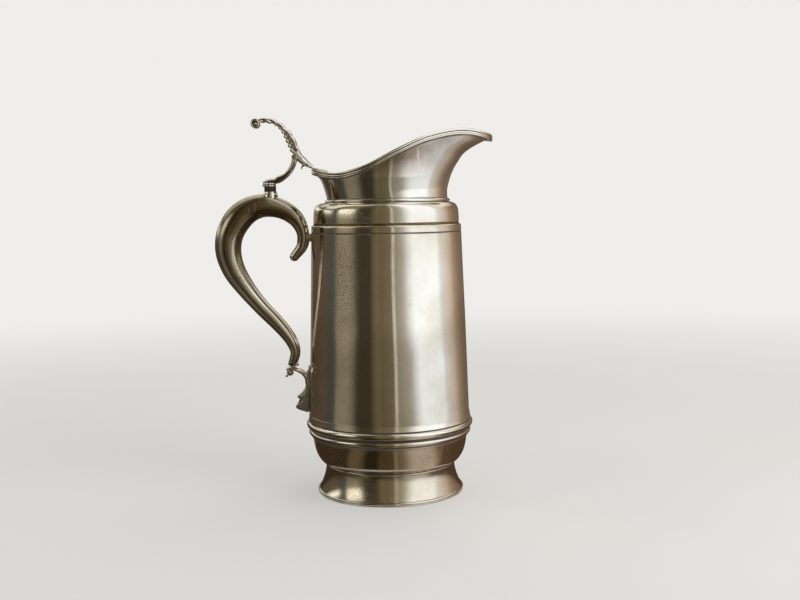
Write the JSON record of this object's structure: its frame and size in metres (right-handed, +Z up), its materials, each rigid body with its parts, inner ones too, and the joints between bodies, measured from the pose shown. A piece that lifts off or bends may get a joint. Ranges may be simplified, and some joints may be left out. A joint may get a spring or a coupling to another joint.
{
  "type": "insulated serving jug",
  "caption": "Metal-cased vacuum jug with a hinged lid, scroll thumbpiece, raised spout and hollow S-scroll handle.",
  "frame": {"origin": "centre of the foot's lower edge, on the surface the jug stands on", "axes": "+Z up, +X towards the spout, the handle stands on -X, the hinge pin runs along Y"},
  "size_m": [0.2088, 0.1256, 0.2816],
  "materials": {
    "silver_plate": "old silver plate on copper, polished, with warm tarnish and fine scratches",
    "cast_silver": "cast silver, bright on the high places and dark in the recesses",
    "brass_collar": "turned brass, dull",
    "dark_fibre": "dark vulcanised fibre, matte",
    "flask_glass": "silvered glass",
    "seal_rubber": "aged dark rubber",
    "cork": "pressed cork"
  },
  "bodies": {
    "jug": {"foot_cone": "silver_plate", "foot_rim": "silver_plate", "lower_bowl": "silver_plate", "band_moulding": "silver_plate", "casing": "silver_plate", "body_collar": "brass_collar", "shoulder": "silver_plate", "neck": "silver_plate", "neck_ring": "silver_plate", "spout_rim": "silver_plate", "hinge_pin": "cast_silver", "hinge_bracket": "cast_silver", "bracket_spacer": "dark_fibre", "bracket_stud": "brass_collar", "handle_near_half": "silver_plate", "handle_far_half": "silver_plate", "handle_pad": "silver_plate", "lower_spacer": "dark_fibre", "lower_bracket": "cast_silver", "flask_inner": "flask_glass", "flask_outer": "flask_glass", "flask_pads": "dark_fibre", "flask_seal": "seal_rubber", "flask_cushion": "seal_rubber", "centring_band": "cork"},
    "lid": {"lid_plate": "silver_plate", "lid_wire": "silver_plate", "lid_bezel": "silver_plate", "lid_strap": "cast_silver", "thumbpiece": "cast_silver"}
  },
  "joints": [
    {"name": "lid_hinge", "type": "hinge", "parent": "jug", "child": "lid", "pos_m": [-0.067, 0, 0.252], "axis": [0, -1, 0], "range_deg": [0, 72]}
  ]
}
